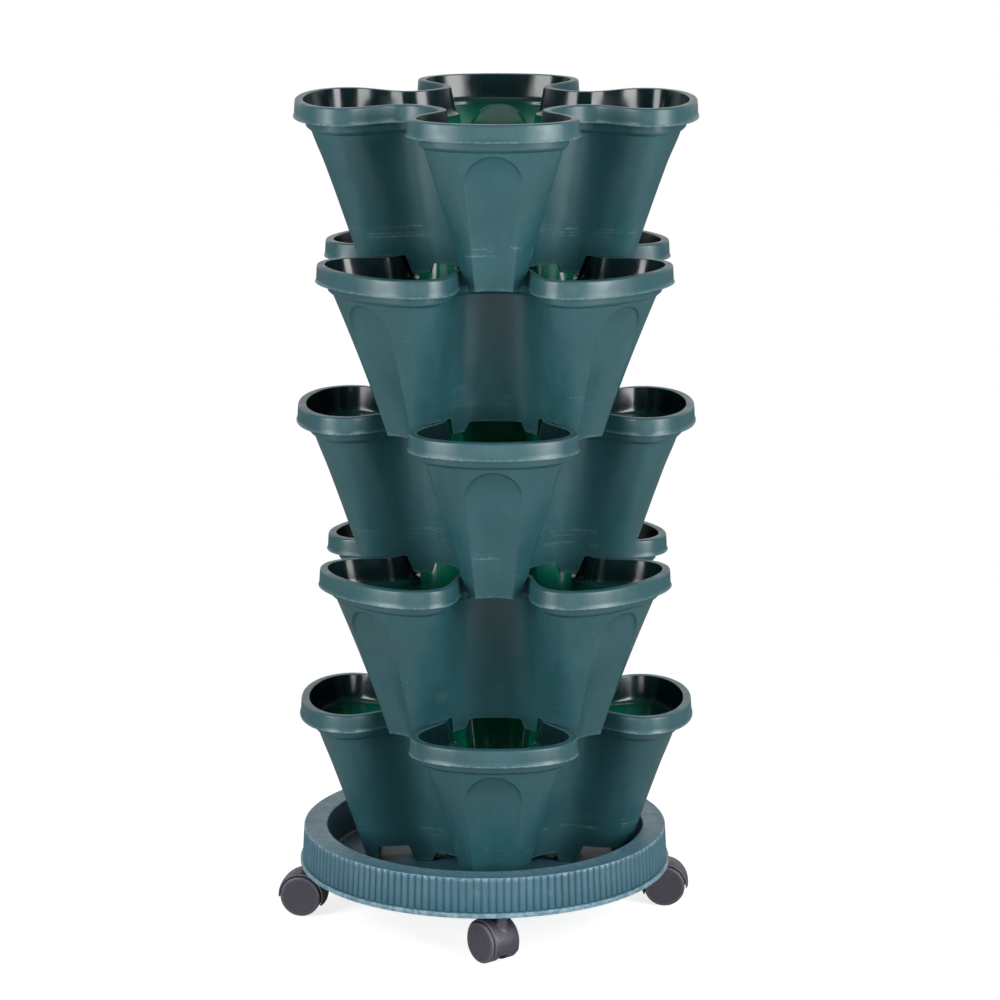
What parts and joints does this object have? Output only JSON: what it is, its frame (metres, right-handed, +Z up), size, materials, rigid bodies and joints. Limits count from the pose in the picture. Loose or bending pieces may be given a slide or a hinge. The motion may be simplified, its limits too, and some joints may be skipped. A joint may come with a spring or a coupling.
{
  "type": "vertical planter tower",
  "caption": "Stack of four-lobed plastic planter pots turned crosswise on each other, standing in a round reeded tray on swivel casters.",
  "frame": {"origin": "on the floor under the middle of the whole tower, the centre of its bounding box", "axes": "+Z up along the tower; the front caster and the front lobe of the top pot face -Y, +X is to the right seen from the front"},
  "size_m": [0.3698, 0.35, 0.7311],
  "materials": {
    "pot_plastic": "satin moulded polypropylene, glossier inside",
    "tray_plastic": "satin moulded polypropylene",
    "caster_plastic": "fine-grained black nylon",
    "caster_steel": "zinc-plated steel"
  },
  "bodies": {
    "tray_base": {"tray": "tray_plastic", "caster_front_stem": "caster_steel", "caster_right_stem": "caster_steel", "caster_back_stem": "caster_steel", "caster_left_stem": "caster_steel"},
    "tier_1": {"pot_tier_1": "pot_plastic"},
    "tier_2": {"pot_tier_2": "pot_plastic"},
    "tier_3": {"pot_tier_3": "pot_plastic"},
    "tier_4": {"pot_tier_4": "pot_plastic"},
    "tier_5": {"pot_tier_5": "pot_plastic"},
    "caster_front": {"caster_front_hood": "caster_plastic", "caster_front_axle": "caster_steel"},
    "caster_front_wheel_left": {"caster_front_wheel_left": "caster_plastic"},
    "caster_front_wheel_right": {"caster_front_wheel_right": "caster_plastic"},
    "caster_right": {"caster_right_hood": "caster_plastic", "caster_right_axle": "caster_steel"},
    "caster_right_wheel_left": {"caster_right_wheel_left": "caster_plastic"},
    "caster_right_wheel_right": {"caster_right_wheel_right": "caster_plastic"},
    "caster_back": {"caster_back_hood": "caster_plastic", "caster_back_axle": "caster_steel"},
    "caster_back_wheel_left": {"caster_back_wheel_left": "caster_plastic"},
    "caster_back_wheel_right": {"caster_back_wheel_right": "caster_plastic"},
    "caster_left": {"caster_left_hood": "caster_plastic", "caster_left_axle": "caster_steel"},
    "caster_left_wheel_left": {"caster_left_wheel_left": "caster_plastic"},
    "caster_left_wheel_right": {"caster_left_wheel_right": "caster_plastic"}
  },
  "joints": [
    {"name": "tier_5_lift", "type": "slide", "parent": "tray_base", "child": "tier_5", "axis": [0, 0, 1], "range_m": [0, 0.15]},
    {"name": "tier_4_lift", "type": "slide", "parent": "tier_5", "child": "tier_4", "axis": [0, 0, 1], "range_m": [0, 0.15]},
    {"name": "tier_3_lift", "type": "slide", "parent": "tier_4", "child": "tier_3", "axis": [0, 0, 1], "range_m": [0, 0.15]},
    {"name": "tier_2_lift", "type": "slide", "parent": "tier_3", "child": "tier_2", "axis": [0, 0, 1], "range_m": [0, 0.15]},
    {"name": "tier_1_lift", "type": "slide", "parent": "tier_2", "child": "tier_1", "axis": [0, 0, 1], "range_m": [0, 0.15]},
    {"name": "caster_front_swivel", "type": "hinge", "parent": "tray_base", "child": "caster_front", "pos_m": [0.0175, -0.15344, 0.04], "axis": [0, 0, 1], "continuous": true},
    {"name": "caster_front_wheel_left_roll", "type": "hinge", "parent": "caster_front", "child": "caster_front_wheel_left", "pos_m": [0.00958, -0.1439, 0.0182], "axis": [0.7694, 0.6388, 0], "continuous": true},
    {"name": "caster_front_wheel_right_roll", "type": "hinge", "parent": "caster_front", "child": "caster_front_wheel_right", "pos_m": [0.00958, -0.1439, 0.0182], "axis": [0.7694, 0.6388, 0], "continuous": true},
    {"name": "caster_right_swivel", "type": "hinge", "parent": "tray_base", "child": "caster_right", "pos_m": [0.14956, 0.01438, 0.04], "axis": [0, 0, 1], "continuous": true},
    {"name": "caster_right_wheel_left_roll", "type": "hinge", "parent": "caster_right", "child": "caster_right_wheel_left", "pos_m": [0.16195, 0.0141, 0.0182], "axis": [-0.0227, -0.9997, 0], "continuous": true},
    {"name": "caster_right_wheel_right_roll", "type": "hinge", "parent": "caster_right", "child": "caster_right_wheel_right", "pos_m": [0.16195, 0.0141, 0.0182], "axis": [-0.0227, -0.9997, 0], "continuous": true},
    {"name": "caster_back_swivel", "type": "hinge", "parent": "tray_base", "child": "caster_back", "pos_m": [-0.01826, 0.14644, 0.04], "axis": [0, 0, 1], "continuous": true},
    {"name": "caster_back_wheel_left_roll", "type": "hinge", "parent": "caster_back", "child": "caster_back_wheel_left", "pos_m": [-0.01244, 0.13549, 0.0182], "axis": [-0.8829, -0.4695, 0], "continuous": true},
    {"name": "caster_back_wheel_right_roll", "type": "hinge", "parent": "caster_back", "child": "caster_back_wheel_right", "pos_m": [-0.01244, 0.13549, 0.0182], "axis": [-0.8829, -0.4695, 0], "continuous": true},
    {"name": "caster_left_swivel", "type": "hinge", "parent": "tray_base", "child": "caster_left", "pos_m": [-0.15032, -0.02138, 0.04], "axis": [0, 0, 1], "continuous": true},
    {"name": "caster_left_wheel_left_roll", "type": "hinge", "parent": "caster_left", "child": "caster_left_wheel_left", "pos_m": [-0.16253, -0.01923, 0.0182], "axis": [0.1736, 0.9848, 0], "continuous": true},
    {"name": "caster_left_wheel_right_roll", "type": "hinge", "parent": "caster_left", "child": "caster_left_wheel_right", "pos_m": [-0.16253, -0.01923, 0.0182], "axis": [0.1736, 0.9848, 0], "continuous": true}
  ]
}
